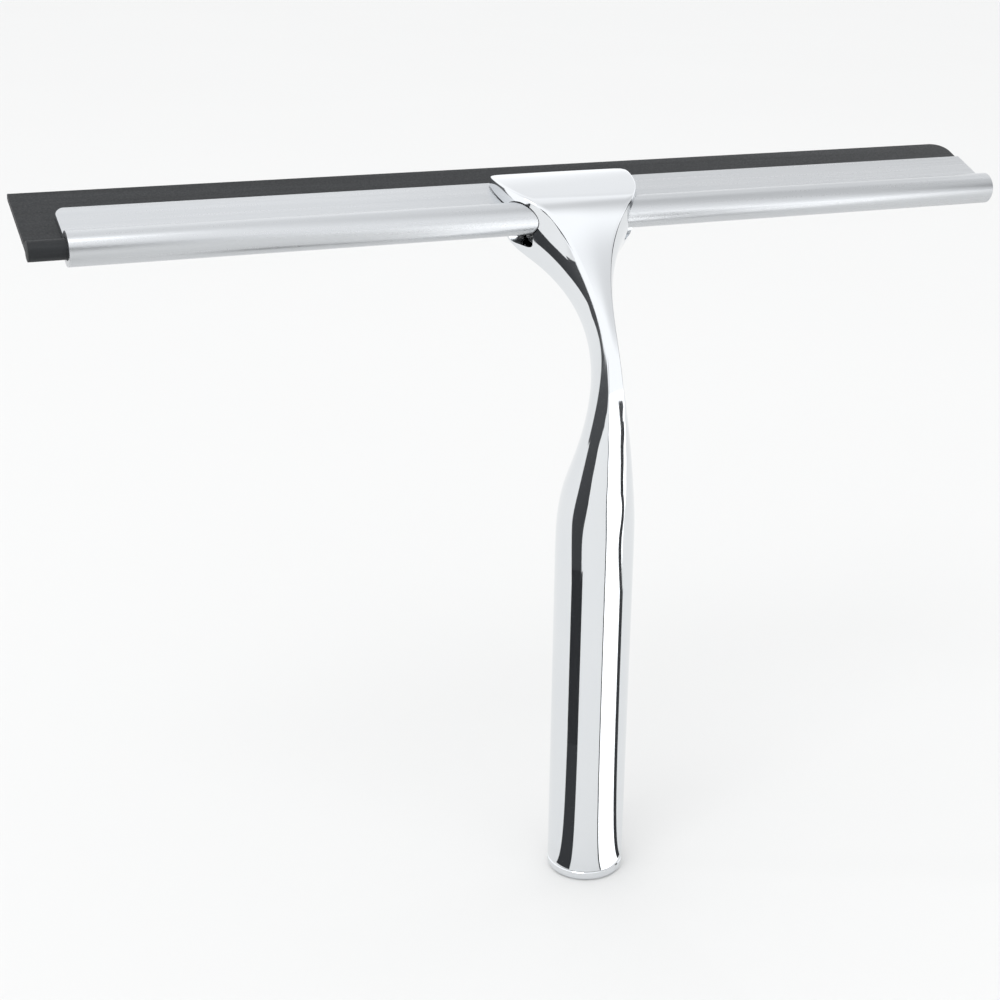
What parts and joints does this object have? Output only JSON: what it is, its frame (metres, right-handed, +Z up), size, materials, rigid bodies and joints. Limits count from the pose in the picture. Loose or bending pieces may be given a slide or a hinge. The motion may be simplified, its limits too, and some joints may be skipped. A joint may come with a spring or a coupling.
{
  "type": "window cleaning squeegee",
  "caption": "Hand squeegee with a chrome T-handle, flared head, clamped aluminium blade channel and a replaceable rubber wiping blade.",
  "frame": {"origin": "centre of the end cap's flat bottom face", "axes": "+X along the blade, +Y from the handle's front towards the glass, +Z up the handle to the head"},
  "size_m": [0.305, 0.0577, 0.2185],
  "materials": {
    "chrome_plate": "mirror-bright chrome plate over a polished zinc casting",
    "cap_chrome": "polished chrome plate",
    "seal_rubber": "smooth moulded rubber",
    "satin_aluminium": "satin anodised extrusion with fine lengthwise lines",
    "blade_rubber": "matte dark grey rubber with a clean cut lip",
    "shoe_nylon": "moulded black nylon",
    "screw_steel": "bright zinc-plated steel"
  },
  "bodies": {
    "handle_body": {"handle": "chrome_plate", "end_cap": "cap_chrome", "cap_seal_ring": "seal_rubber"},
    "channel_body": {"blade_channel": "satin_aluminium"},
    "rubber_body": {"rubber_blade": "blade_rubber"},
    "shoe_body": {"clamp_shoe": "shoe_nylon"},
    "left_screw_body": {"clamp_screw_left": "screw_steel"},
    "right_screw_body": {"clamp_screw_right": "screw_steel"}
  },
  "joints": [
    {"name": "channel_slide", "type": "slide", "parent": "handle_body", "child": "channel_body", "axis": [1, 0, 0], "range_m": [-0.12, 0.12]},
    {"name": "rubber_slide", "type": "slide", "parent": "channel_body", "child": "rubber_body", "axis": [1, 0, 0], "range_m": [-0.15, 0.15]},
    {"name": "shoe_slide", "type": "slide", "parent": "handle_body", "child": "shoe_body", "axis": [0, 0.3584, -0.9336], "range_m": [0, 0.001]},
    {"name": "left_screw_turn", "type": "hinge", "parent": "shoe_body", "child": "left_screw_body", "pos_m": [-0.0095, 0.02077, 0.19792], "axis": [0, 0.3584, -0.9336], "range_deg": [0, 514.3]},
    {"name": "right_screw_turn", "type": "hinge", "parent": "shoe_body", "child": "right_screw_body", "pos_m": [0.0095, 0.02077, 0.19792], "axis": [0, 0.3584, -0.9336], "range_deg": [0, 514.3]}
  ],
  "couplings": [
    {"joint": "left_screw_turn", "follows": "shoe_slide", "rad_per_m": 8976},
    {"joint": "right_screw_turn", "follows": "shoe_slide", "rad_per_m": 8976}
  ]
}
